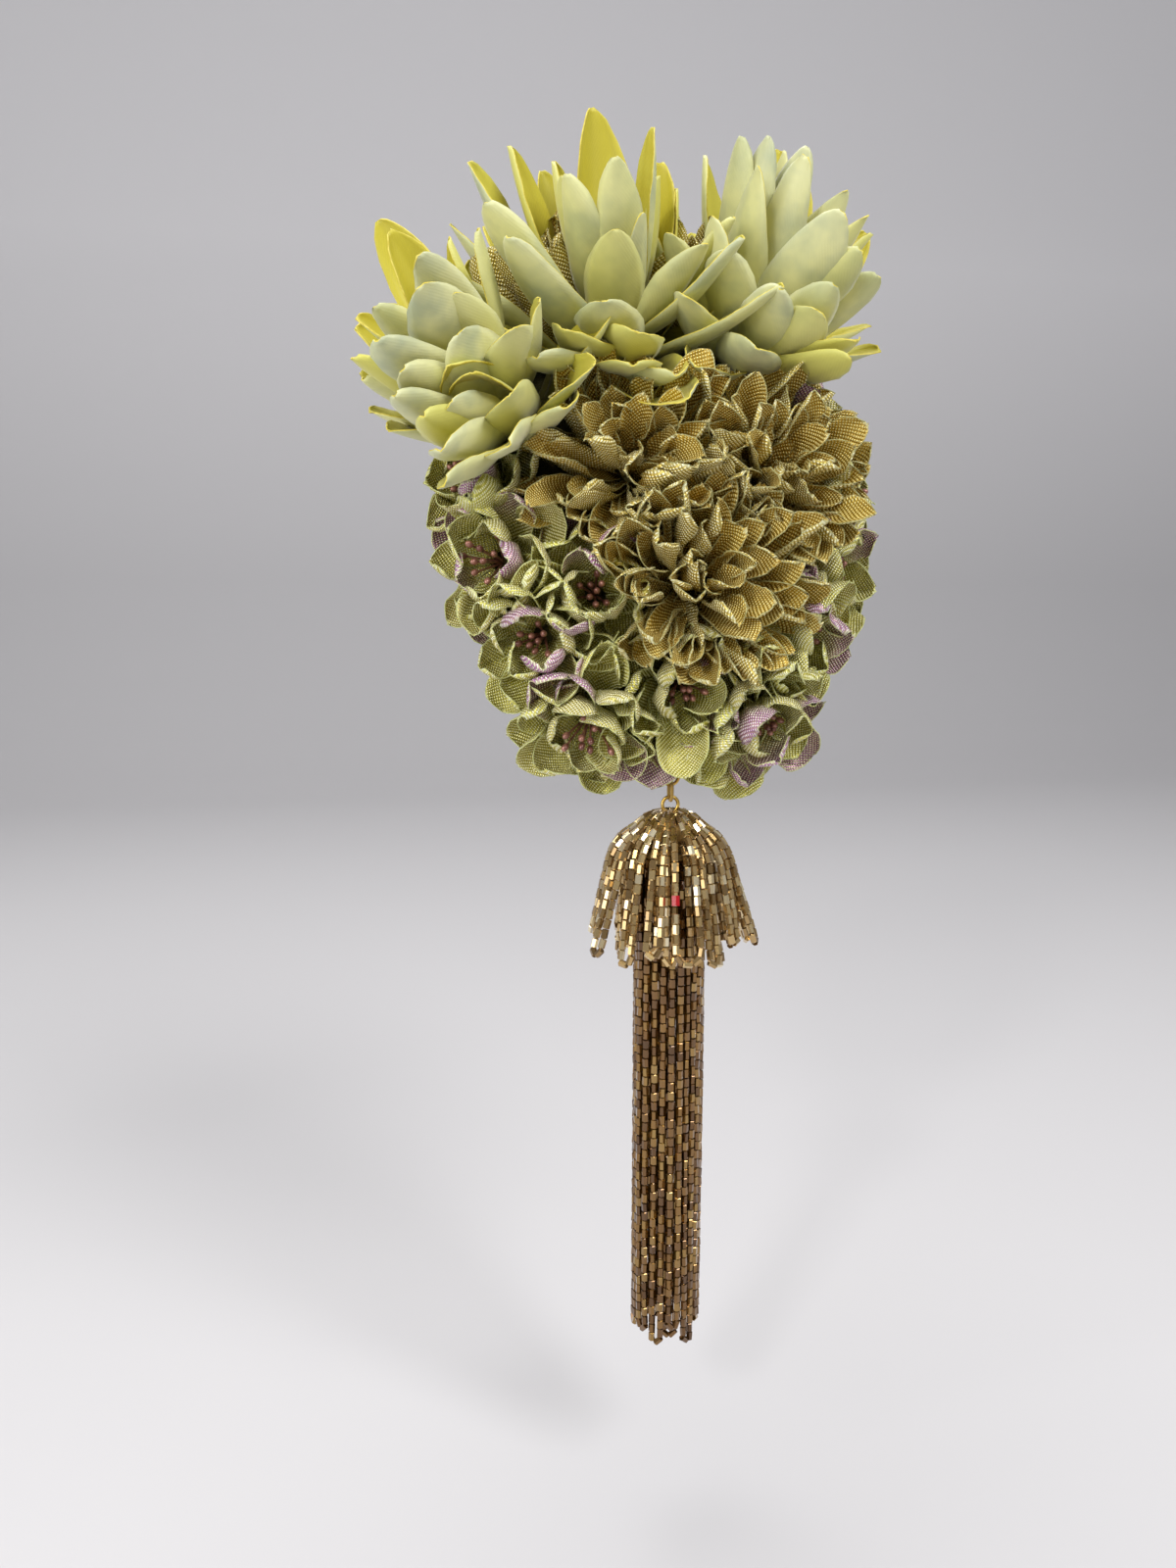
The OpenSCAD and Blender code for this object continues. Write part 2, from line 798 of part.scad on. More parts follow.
module red_bead() {
    color("#a01020") on_tassel() at_red_bead() cylinder(d = bead_w, h = bead_len, $fn = 6);
}

// two straight strands that meet in a turn at the bottom
module skirt_loop(r, loops) {
    half = 90 / loops;
    turn_r = r * sin(half);
    fall = skirt_len - turn_r - bead_w / 2;
    for (side = [-1, 1])
        rotate([0, 0, side * half]) translate([r, 0, -fall]) cylinder(d = bead_w, h = fall, $fn = 6);
    translate([r * cos(half), 0, -fall])
        rotate([0, 90, 0])
        rotate([0, 0, -90])
        rotate_extrude(angle = 180)
        translate([turn_r, 0])
        circle(d = bead_w, $fn = 6);
}

module skirt_strands() {
    color("#a8894c")
        on_tassel()
        translate([0, 0, -cap_flange_z - cap_flange_t]) {
            for (k = [0 : skirt_loops - 1])
                rotate([0, 0, k * 360 / skirt_loops]) skirt_loop(skirt_r, skirt_loops);
            for (k = [0 : inner_skirt_loops - 1])
                rotate([0, 0, (k + 0.5) * 360 / inner_skirt_loops])
                    skirt_loop(inner_skirt_r, inner_skirt_loops);
        }
}

base_shell();
base_lining();
base_cover();
edge_wire();
edge_binding();
hair_comb();
comb_stitches();
for (head = HEADS)
    for (i = [0 : len(LAYERS[head[1]]) - 1])
        petal_layer(head, i);
yellow_stems();
gold_stems();
floret_stamens();
tassel_eye();
thread_loop();
tassel_eye_pin();
tassel_cap();
bell_upper_loops();
bell_lower_loops();
red_bead();
skirt_strands();
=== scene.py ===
"""The fascinator headpiece, dressed: cloth flower heads on a curved oval base, with a hair
comb beneath and a bead tassel that hangs from the lower tip. Lengths are in metres."""

import math
import random

import bmesh
import bpy
from mathutils import Matrix, Vector


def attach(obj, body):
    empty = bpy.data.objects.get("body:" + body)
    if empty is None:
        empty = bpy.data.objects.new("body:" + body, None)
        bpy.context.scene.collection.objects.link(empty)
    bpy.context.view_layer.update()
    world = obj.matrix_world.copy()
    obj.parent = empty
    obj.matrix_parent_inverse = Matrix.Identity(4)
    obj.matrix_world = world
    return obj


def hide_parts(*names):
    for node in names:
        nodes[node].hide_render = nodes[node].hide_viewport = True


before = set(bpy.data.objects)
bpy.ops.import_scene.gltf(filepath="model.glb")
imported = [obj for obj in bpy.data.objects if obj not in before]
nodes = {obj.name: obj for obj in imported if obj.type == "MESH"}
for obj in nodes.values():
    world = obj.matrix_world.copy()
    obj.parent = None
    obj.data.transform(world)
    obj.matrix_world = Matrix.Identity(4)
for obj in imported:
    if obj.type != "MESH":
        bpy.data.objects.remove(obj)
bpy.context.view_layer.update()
MM = 0.001

# ---------- camera ----------
# The headpiece is looked at from close by, a little to the left of its front and from
# just below the flowers, with the wide lens of a hand-held camera.


def new_object(name, data):
    thing = bpy.data.objects.new(name, data)
    bpy.context.scene.collection.objects.link(thing)
    return thing


def look_along(direction):
    """The turn that makes a camera or a lamp look along a direction, upright."""
    return Vector(direction).to_track_quat("-Z", "Y").to_euler()


camera_data = bpy.data.cameras.new("camera")
camera_data.sensor_fit = "VERTICAL"
camera_data.sensor_height = 36
camera_data.lens = 27
camera_data.clip_start = 0.01
camera = new_object("camera", camera_data)
camera.location = Vector((-63.4, -268.3, -22.4)) * MM
camera.rotation_euler = look_along((0.172, 0.973, -0.156))
bpy.context.scene.camera = camera

# ---------- base ----------
# A stiffened buckram shell, blocked to the side of the head, with crepe over it and a
# satin lining under it. A bias strip folded over a millinery wire binds the edge.

# a wave texture of scale 1 has a period of 0.314, so this over a pitch gives its scale
WAVE_SCALE = 0.314


def linear(hex_colour):
    """An sRGB hex colour as linear RGBA."""
    parts = [int(hex_colour[i : i + 2], 16) / 255 for i in (1, 3, 5)]
    return [*[c / 12.92 if c <= 0.04045 else ((c + 0.055) / 1.055) ** 2.4 for c in parts], 1]


def add_node(material, kind, inputs=None, **settings):
    """Adds a shader node. A socket in inputs is linked, and any other value is set."""
    tree = material.node_tree
    node = tree.nodes.new("ShaderNode" + kind)
    for name, value in settings.items():
        setattr(node, name, value)
    for name, value in (inputs or {}).items():
        if isinstance(value, bpy.types.NodeSocket):
            tree.links.new(value, node.inputs[name])
        else:
            node.inputs[name].default_value = value
    return node


def new_material(name):
    material = bpy.data.materials.new(name)
    material.use_nodes = True
    material.node_tree.nodes.clear()
    return material


def surface(material, **inputs):
    """The Principled shader of a material and its output. Underscores stand for spaces."""
    named = {name.replace("_", " "): value for name, value in inputs.items()}
    shader = add_node(material, "BsdfPrincipled", named)
    add_node(material, "OutputMaterial", {"Surface": shader.outputs[0]})


def blend_colours(material, factor, first, second, mode="MIX"):
    node = add_node(
        material,
        "Mix",
        {0: factor, 6: first, 7: second},
        data_type="RGBA",
        blend_type=mode,
        clamp_factor=True,
    )
    return node.outputs[2]


def ramp(material, value, *stops):
    """A colour ramp of (position, colour) stops. A plain number stands for a grey."""
    node = add_node(material, "ValToRGB", {0: value})
    elements = node.color_ramp.elements
    for i, (position, colour) in enumerate(stops):
        element = elements[i] if i < 2 else elements.new(position)
        element.position = position
        element.color = linear(colour) if isinstance(colour, str) else [colour] * 3 + [1]
    return node.outputs[0]


def math_of(material, operation, *values, **settings):
    """The result of a Math node."""
    inputs = dict(enumerate(values))
    return add_node(material, "Math", inputs, operation=operation, **settings).outputs[0]


def object_place(material):
    return add_node(material, "TexCoord").outputs["Object"]


def plain_weave(name, dark, light, pitch, roughness, sheen=0.3, relief=0.5):
    """Plain woven cloth: crossed threads in relief, a little uneven in colour."""
    material = new_material(name)
    place = object_place(material)
    waves = {"Vector": place, "Scale": WAVE_SCALE / pitch}
    warp = add_node(material, "TexWave", waves, bands_direction="X").outputs["Fac"]
    weft = add_node(material, "TexWave", waves, bands_direction="Z").outputs["Fac"]
    threads = math_of(material, "MULTIPLY", warp, weft)
    uneven = add_node(material, "TexNoise", {"Vector": place, "Scale": 160, "Detail": 3}).outputs[0]
    cloth = ramp(material, uneven, (0.3, dark), (0.7, light))
    gaps = ramp(material, threads, (0, 0.5), (0.6, 0))
    shaded = blend_colours(material, gaps, cloth, linear(dark))
    bumps = {"Height": threads, "Strength": relief, "Distance": pitch / 3}
    bump = add_node(material, "Bump", bumps)
    surface(
        material,
        Base_Color=shaded,
        Roughness=roughness,
        Sheen_Weight=sheen,
        Sheen_Roughness=0.4,
        Normal=bump.outputs[0],
    )
    return material


def dress(node_name, material):
    """Gives a CAD piece its material."""
    mesh = nodes[node_name].data
    mesh.materials.clear()
    mesh.materials.append(material)


# the threads are drawn about twice as coarse as real crepe, so that they show
for node_name, woven in [
    ("base_cover", ("olive_crepe", "#4e4a20", "#6d672f", 0.7 * MM, 0.85)),
    ("base_lining", ("gold_satin_lining", "#9a8648", "#b8a565", 0.5 * MM, 0.42, 0.5, 0.25)),
    ("edge_binding", ("bias_satin", "#596028", "#7a8040", 0.45 * MM, 0.45, 0.5, 0.3)),
    ("base_shell", ("stiffened_buckram", "#c8bb92", "#e2d8b4", 1.2 * MM, 0.8, 0.1, 0.8)),
]:
    dress(node_name, plain_weave(*woven))

drawn_steel = new_material("drawn_steel_wire")
surface(drawn_steel, Base_Color=linear("#a8a8a6"), Metallic=1, Roughness=0.35)
dress("edge_wire", drawn_steel)

# ---------- comb ----------
# A bought comb of dark moulded plastic, sewn to the lining by its back with waxed
# thread. Polished moulding shows a soft gloss with a faint flow pattern.


def mottled(name, noise, dark, light, dark_until=0.3, **looks):
    """A surface whose colour drifts between dark and light, as the noise has it."""
    material = new_material(name)
    mottle = add_node(material, "TexNoise", {"Vector": object_place(material), **noise}).outputs[0]
    colour = ramp(material, mottle, (dark_until, dark), (0.7, light))
    surface(material, Base_Color=colour, **looks)
    return material


flow = {"Scale": 90, "Detail": 4, "Distortion": 1.5}
acetate = mottled(
    "polished_brown_acetate", flow, "#1d120c", "#4a2f1c", 0.35, Roughness=0.2, IOR=1.48
)
dress("hair_comb", acetate)
dress("comb_stitches", plain_weave("waxed_thread", "#b5ab80", "#d6cda4", 0.35 * MM, 0.6))

# ---------- stems ----------
# Each flower head is threaded on a short stem of moulded polyethylene, which is glued
# to the cover. The plastic is matt, with a faint bloom.
for node_name, dark, light in [
    ("yellow_stems", "#515a26", "#717a3c"),
    ("gold_stems", "#4a431c", "#6b6130"),
]:
    name = "polyethylene_" + node_name
    dress(node_name, mottled(name, {"Scale": 400}, dark, light, Roughness=0.55, IOR=1.5))

# ---------- yellow flowers ----------
# Three heads of satin petals, which are cut out, dyed and pressed with a hot ball. The
# outside is pale cream green with grey patches, and the inside is yellow to olive. The
# roots are darker, partly dye and partly painted shade.

# The base follows a sphere round the head, and its face looks up by FACE_UP degrees.
FACE_UP = 25
SEAT_R = 95 * MM
COVER_TOP = 97.8 * MM
HALF_W = 42 * MM
HALF_H = 57 * MM
# heads: place as shares of half the base's width and half its height, and lean outwards
HEADS = {
    "yellow_top": (-0.136, 0.635, 20),
    "yellow_right": (0.560, 0.661, 20),
    "yellow_left": (-0.732, 0.350, 20),
    "gold_right": (0.484, 0.012, 4),
    "gold_left": (-0.157, 0.031, 0),
    "gold_front": (0.100, -0.379, 0),
    "gold_back": (0.157, 0.824, 20),
    "gold_crown": (-0.445, 0.736, 23),
    "floret_01": (-0.832, 0.043, 30),
    "floret_02": (-0.803, -0.251, 20),
    "floret_03": (-0.621, -0.527, 20),
    "floret_04": (-0.398, -0.806, 28),
    "floret_05": (0.034, -0.711, 16),
    "floret_06": (0.436, -0.795, 28),
    "floret_07": (0.621, -0.527, 20),
    "floret_08": (0.797, -0.261, 28),
    "floret_09": (0.869, 0.056, 32),
    "floret_10": (0.820, 0.349, 34),
    "floret_11": (-0.381, -0.416, 4),
}


def turned(degrees, axis):
    return Matrix.Rotation(math.radians(degrees), 4, axis)


def lifted(height):
    return Matrix.Translation((0, 0, height))


def head_frame(head):
    """The frame of a flower head: its foot on the cover, and z up its stem."""
    x, y, lean = HEADS[head]
    x, y = x * HALF_W, y * HALF_H
    direction = math.degrees(math.atan2(y, x))
    tilt = math.degrees(math.asin(math.hypot(x, y) / COVER_TOP))
    on_base = turned(90 - FACE_UP, "X") @ lifted(-SEAT_R)
    foot = on_base @ turned(direction, "Z") @ turned(tilt, "Y") @ lifted(COVER_TOP)
    return foot @ turned(lean, "Y")


def petal_place(head, turn, root, lean, roll):
    """The frame of one petal: its foot at the radius and height of root, and its roll."""
    root_r, root_z = root
    foot = head_frame(head) @ turned(turn, "Z") @ Matrix.Translation((root_r, 0, root_z))
    return foot @ turned(lean, "Y") @ turned(roll, "Z") @ turned(-lean, "Y")


def petal_half_width(t, root, fullest, point):
    """Share of the full half width at share t of the length. A low point is sharper."""
    if t < fullest:
        return root + (1 - root) * math.sin(math.pi / 2 * t / fullest)
    return max(1 - ((t - fullest) / (1 - fullest)) ** point, 0) ** 0.5


def midline(t, length, lean, bend):
    """Place and slope of the midline at share t. It leans out and bends inwards, from
    lean + bend at the root to lean - bend at the tip."""
    start = math.radians(lean + bend)
    turn = math.radians(-2 * bend)
    slope = start + turn * t
    out = (math.cos(start) - math.cos(slope)) / turn
    up = (math.sin(slope) - math.sin(start)) / turn
    return Vector((out, 0, up)) * length, slope


# half width of the tip as a share of a petal's width, and the share where its tip curls
TIP_SHARE = 0.06
CURL_FROM = 0.6


def add_petal(bm, place, size, lean, bend, form, tone, rng):
    """Adds one pressed petal. It leans out from z towards x and is hollow towards the stem.
    form holds what differs from kind to kind, and tone goes into the petal attribute. t is
    the share of the length, and u runs from -1 to 1 across."""
    length, width = size
    facts = bm.verts.layers.float_color["petal"]
    cloth = bm.loops.layers.uv["cloth"]
    across, along = form["cells"]
    grid = bmesh.ops.create_grid(bm, x_segments=across, y_segments=along, size=1)
    phase = [rng.uniform(0, math.tau) for _ in range(4)]
    chance = rng.random()
    deeper = rng.uniform(*form["vary"])
    flat = {}
    for v in grid["verts"]:
        u, s = v.co.x, (v.co.y + 1) / 2
        # rows lie closer together towards the tip
        t = 1 - (1 - s) ** 1.5
        half = petal_half_width(t, form["root"], form["fullest"], form["point"]) * width / 2
        half = max(half, TIP_SHARE * width)
        # the ball presses the middle and the tip deeper than the root
        cup = math.radians(form["cup"]) * min(1, 0.3 + 1.4 * t) * deeper
        side = half * math.sin(cup * u) / cup
        rise = -half * (1 - math.cos(cup * u)) / cup
        rise += form["ripple"] * u * u * math.sin(7 * t + phase[0] + (phase[1] if u > 0 else 0))
        rise += form["channels"] * math.cos(3 * math.pi * u) * math.sin(math.pi * t)
        rise -= form["crease"] * deeper**3 * abs(u) * half * math.sin(math.pi * min(1, t * 1.2))
        if abs(u) > 0.99 or t > 0.99:
            rise += rng.uniform(-1, 1) * form["fray"]
            side *= 1 + rng.uniform(-1, 1) * form["fray"] / half
        rise += form["tip_curl"] * (max(0, t - CURL_FROM) / (1 - CURL_FROM)) ** 2
        middle, slope = midline(t, length, lean, bend)
        outward = Vector((math.cos(slope), 0, -math.sin(slope)))
        swing = math.radians(form["twist"]) * math.sin(phase[2]) * t
        offset = outward * (rise * math.cos(swing) + side * math.sin(swing))
        offset.y = side * math.cos(swing) - rise * math.sin(swing)
        flat[v] = (u * half, t * length)
        v.co = middle + offset
        v[facts] = (tone, t, max(abs(u), t * t), chance)
    faces = {f for v in grid["verts"] for f in v.link_faces}
    for f in faces:
        f.smooth = True
        for loop in f.loops:
            loop[cloth].uv = flat[loop.vert]
    bmesh.ops.transform(bm, matrix=place, verts=grid["verts"])


def new_cloth_mesh():
    bm = bmesh.new()
    bm.verts.layers.float_color.new("petal")
    bm.loops.layers.uv.new("cloth")
    return bm


def finish_petals(bm, name, materials, thickness):
    """Makes the object, gives the cloth its thickness, and puts it on the headpiece."""
    mesh = bpy.data.meshes.new(name)
    bm.to_mesh(mesh)
    bm.free()
    for material in materials:
        mesh.materials.append(material)
    piece = new_object(name, mesh)
    cloth = piece.modifiers.new("cloth", "SOLIDIFY")
    cloth.thickness = thickness
    cloth.offset = -1
    cloth.use_rim = True
    cloth.material_offset = 1
    cloth.material_offset_rim = 2
    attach(piece, "headpiece")
    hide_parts(name)


def petal_facts(material):
    """The tone, share of the length, nearness to the edge and chance of a petal."""
    facts = add_node(material, "Attribute", attribute_name="petal")
    parts = add_node(material, "SeparateColor", {0: facts.outputs["Color"]})
    return (*parts.outputs, facts.outputs["Alpha"])


def satin_ribs(material, pitch, angle):
    """Fine ribs across the cloth, from its own flat coordinates."""
    flat = add_node(material, "UVMap", uv_map="cloth").outputs[0]
    slant = {"Vector": flat, "Rotation": (0, 0, math.radians(angle))}
    waves = {
        "Vector": add_node(material, "Mapping", slant).outputs[0],
        "Scale": WAVE_SCALE / pitch,
        "Distortion": 0.6,
        "Detail": 1,
    }
    return add_node(material, "TexWave", waves, bands_direction="Y").outputs["Fac"]


def dyed_satin(name, pale, grey, warm, root_dye_and_shade, root_dye_and_shade_until, rib_pitch):
    """Polyester satin, dyed by hand: soft patches, ribs that catch the light. The dark colour
    of the root, partly dye and partly painted shade, fades out at the given share of the length."""
    material = new_material(name)
    place = object_place(material)
    tone, along, *_ = petal_facts(material)
    blotches = {"Vector": place, "Scale": 75, "Detail": 3, "Roughness": 0.55}
    patches = add_node(material, "TexNoise", blotches).outputs[0]
    patch = ramp(material, patches, (0.42, 0), (0.66, 0.85))
    cloth = blend_colours(material, patch, linear(pale), linear(grey))
    cloth = blend_colours(material, tone, cloth, linear(warm))
    # the root is drawn darker: partly its dye, partly painted shade
    root_shade = ramp(material, along, (0.02, 0.9), (root_dye_and_shade_until, 0))
    cloth = blend_colours(material, root_shade, cloth, linear(root_dye_and_shade))
    ribs = satin_ribs(material, rib_pitch, 58)
    crumples = {"Vector": place, "Scale": 320, "Detail": 5}
    creases = add_node(material, "TexNoise", crumples).outputs[0]
    relief = math_of(material, "MULTIPLY_ADD", ribs, 0.35, creases)
    bump = add_node(material, "Bump", {"Height": relief, "Strength": 0.35, "Distance": 0.15 * MM})
    surface(
        material,
        Base_Color=cloth,
        Roughness=0.5,
        Sheen_Weight=0.25,
        Sheen_Roughness=0.35,
        Normal=bump.outputs[0],
    )
    return material


# the ribs are drawn about twice as wide as in real satin, so that they show
RIBS = 0.6 * MM
# the dark olive of the roots, darkest and longest inside, is partly dye and partly painted shade
yellow_satin = [
    dyed_satin("dyed_satin_outside", "#dadaa4", "#a6af90", "#d0cc64", "#a3a256", 0.4, RIBS),
    dyed_satin("dyed_satin_inside", "#cfc955", "#c2b53a", "#c4b835", "#544f18", 0.62, RIBS),
    mottled("cut_satin_edge", {"Scale": 900}, "#c8b53c", "#e6d86a", Roughness=0.7),
]

YELLOW_FORM = {
    "cells": (8, 14),
    "root": 0.45,
    "fullest": 0.55,
    "point": 1.7,
    "cup": 52,
    "ripple": 0.8 * MM,
    "channels": 0.25 * MM,
    "crease": 0.05,
    "fray": 0.14 * MM,
    "tip_curl": 0.8 * MM,
    "twist": 18,
    "vary": (0.7, 1.25),
}
# radius and height of the petal roots of each layer, as on the stems
YELLOW_ROOTS = {
    "outer": (6 * MM, 3 * MM),
    "middle": (4.6 * MM, 7 * MM),
    "inner": (3.2 * MM, 11 * MM),
}
# petals: turn round the stem, lean, length and width in millimetres, roll, tone
YELLOW_PETALS = {
    "yellow_top": {
        "inner": [
            (357, 18, 46, 17, 0, 1.0),
            (165, 22, 40, 13, 35, 0.3),
            (206, 12, 42, 10, 60, 0.1),
            (60, 16, 36, 14, 0, 0.6),
            (250, 12, 32, 13, 0, 0.8),
            (110, 16, 34, 14, 0, 0.5),
            (135, 26, 38, 14, 10, 0.2),
        ],
        "middle": [
            (60, 24, 46, 15, 0, 0.8),
            (74, 34, 48, 18, 0, 0.0),
            (110, 40, 44, 17, 0, 0.1),
            (297, 15, 38, 16, 0, 1.0),
            (284, 21, 34, 15, 0, 1.0),
            (164, 34, 34, 15, 0, 0.5),
            (180, 27, 34, 9, 20, 0.0),
            (20, 34, 42, 15, 0, 0.7),
            (235, 40, 36, 15, 0, 0.5),
            (219, 49, 38, 17, 0, 0.0),
            (205, 44, 34, 15, 0, 0.3),
        ],
        "outer": [
            (75, 44, 44, 15, 0, 0.1),
            (95, 56, 44, 16, 0, 0.2),
            (130, 45, 46, 18, 0, 0.0),
            (160, 56, 37, 18, 0, 0.1),
            (148, 65, 38, 17, 0, 0.8),
            (181, 86, 42, 18, 0, 0.1),
            (215, 62, 44, 13, 0, 0.2),
            (180, 80, 38, 18, 0, 0.35),
            (169, 65, 36, 17, 0, 0.8),
            (168, 76, 38, 17, 0, 0.7),
            (142, 74, 41, 16, 0, 0.0),
            (120, 66, 42, 16, 0, 0.2),
            (355, 50, 40, 16, 0, 0.5),
            (325, 48, 38, 16, 0, 0.6),
            (290, 46, 38, 16, 0, 0.4),
            (255, 52, 36, 16, 0, 0.3),
            (40, 48, 42, 15, 0, 0.6),
        ],
    },
    "yellow_right": {
        "inner": [
            (42, 28, 45, 15, 0, 1.0),
            (20, 28, 42, 14, 0, 0.9),
            (300, 20, 35, 14, 0, 0.8),
            (90, 14, 40, 14, 0, 0.3),
            (200, 14, 38, 13, 0, 0.2),
            (145, 15, 42, 14, 0, 0.0),
            (240, 14, 36, 13, 0, 0.5),
        ],
        "middle": [
            (118, 27, 45, 14, 10, 0.2),
            (126, 20, 46, 15, 0, 0.0),
            (145, 30, 42, 15, 0, 0.2),
            (161, 20, 45, 14, -10, 0.0),
            (191, 39, 46, 16, 0, 0.0),
            (204, 42, 42, 14, 0, 0.4),
            (336, 33, 45, 15, 0, 1.0),
            (90, 36, 42, 14, 0, 0.4),
            (60, 42, 42, 14, 0, 0.6),
            (5, 40, 44, 15, 0, 0.9),
            (222, 40, 38, 14, 0, 0.3),
        ],
        "outer": [
            (148, 44, 38, 18, 0, 0.0),
            (161, 51, 36, 18, 0, 0.0),
            (135, 56, 36, 15, 0, 0.2),
            (184, 58, 40, 16, 0, 0.0),
            (198, 58, 40, 17, 0, 0.5),
            (199, 50, 42, 14, 0, 0.2),
            (213, 60, 40, 13, 0, 1.0),
            (212, 66, 40, 13, 0, 0.9),
            (173, 90, 37, 18, 0, 0.0),
            (186, 76, 38, 17, 0, 0.1),
            (158, 72, 36, 16, 0, 0.1),
            (345, 50, 40, 15, 0, 0.7),
            (15, 54, 40, 15, 0, 0.6),
            (45, 56, 40, 15, 0, 0.6),
            (75, 60, 38, 15, 0, 0.4),
            (105, 56, 38, 15, 0, 0.3),
            (310, 46, 34, 14, 0, 0.6),
            (262, 48, 30, 15, 0, 0.2),
        ],
    },
    "yellow_left": {
        "inner": [
            (155, 20, 44, 14, 0, 0.0),
            (144, 28, 44, 18, 0, 0.0),
            (320, 20, 38, 14, 0, 0.9),
            (60, 18, 34, 14, 0, 0.7),
            (215, 22, 36, 14, 0, 0.4),
            (265, 16, 32, 13, 0, 0.8),
            (105, 18, 38, 14, 0, 0.3),
        ],
        "middle": [
            (323, 34, 46, 15, 0, 1.0),
            (156, 24, 40, 15, 0, 0.3),
            (146, 33, 38, 18, 0, 0.0),
            (117, 30, 46, 18, 0, 0.0),
            (121, 37, 42, 15, 0, 0.1),
            (141, 46, 36, 16, 160, 0.9),
            (135, 40, 36, 16, 170, 1.0),
            (165, 42, 36, 16, 0, 0.2),
            (90, 33, 37, 15, 0, 0.3),
            (30, 22, 34, 15, 0, 0.7),
            (185, 42, 34, 15, 0, 0.4),
        ],
        "outer": [
            (100, 26, 46, 15, 0, 1.0),
            (116, 38, 45, 15, 0, 0.0),
            (148, 50, 37, 16, 0, 0.5),
            (131, 44, 41, 14, 0, 0.0),
            (124, 46, 46, 14, 0, 0.9),
            (125, 55, 46, 16, 0, 0.0),
            (122, 62, 45, 15, 0, 0.2),
            (140, 62, 40, 16, 0, 0.1),
            (160, 64, 36, 16, 0, 0.3),
            (178, 62, 34, 16, 0, 0.2),
            (95, 42, 34, 15, 0, 0.3),
            (68, 36, 31, 15, 0, 0.4),
            (25, 36, 31, 15, 0, 0.5),
            (340, 52, 40, 15, 0, 0.8),
            (300, 50, 36, 15, 0, 0.6),
            (205, 60, 34, 15, 0, 0.4),
        ],
    },
}

for head, layers in YELLOW_PETALS.items():
    for layer, petals in layers.items():
        rng = random.Random(head + layer)
        bm = new_cloth_mesh()
        for turn, lean, length, width, roll, tone in petals:
            place = petal_place(head, turn, YELLOW_ROOTS[layer], lean, roll)
            bend = rng.uniform(14, 22)
            add_petal(bm, place, (length * MM, width * MM), lean, bend, YELLOW_FORM, tone, rng)
        finish_petals(bm, f"{head}_{layer}", yellow_satin, 0.3 * MM)

# ---------- gold flowers ----------
# Five heads of bronze gold lame, a weave of metal-coated thread, cut into narrow spoon
# petals. The three at the front are full, and the two at the top show behind the yellow.

# how far a head reaches, for sharing out the room between two heads, and at what height
REACH = {"yellow": 21, "gold": 17, "floret": 10}
SHARE_HEIGHT = {"yellow": 24 * MM, "gold": 14 * MM, "floret": 8 * MM}


def planes_round(head):
    """The planes that part a head's space from its neighbours': normal and offset."""
    kind = head.split("_")[0]
    here = head_frame(head) @ Vector((0, 0, SHARE_HEIGHT[kind]))
    planes = []
    for other in HEADS:
        other_kind = other.split("_")[0]
        if other != head:
            there = head_frame(other) @ Vector((0, 0, SHARE_HEIGHT[other_kind]))
            normal = (there - here).normalized()
            share = REACH[kind] / (REACH[kind] + REACH[other_kind])
            planes.append((normal, (here + (there - here) * share).dot(normal)))
    return planes


def room_for(head, planes, turn, root, length, most, overlap):
    """The greatest lean up to most at which a petal's tip passes its neighbours' planes by
    less than the overlap."""
    base = head_frame(head) @ turned(turn, "Z") @ Matrix.Translation((root[0], 0, root[1]))
    lean = most
    while lean > 4:
        slope = math.radians(lean)
        tip = base @ (Vector((math.sin(slope), 0, math.cos(slope))) * length)
        if max(tip.dot(normal) - offset for normal, offset in planes) < overlap:
            return lean
        lean -= 4
    return lean


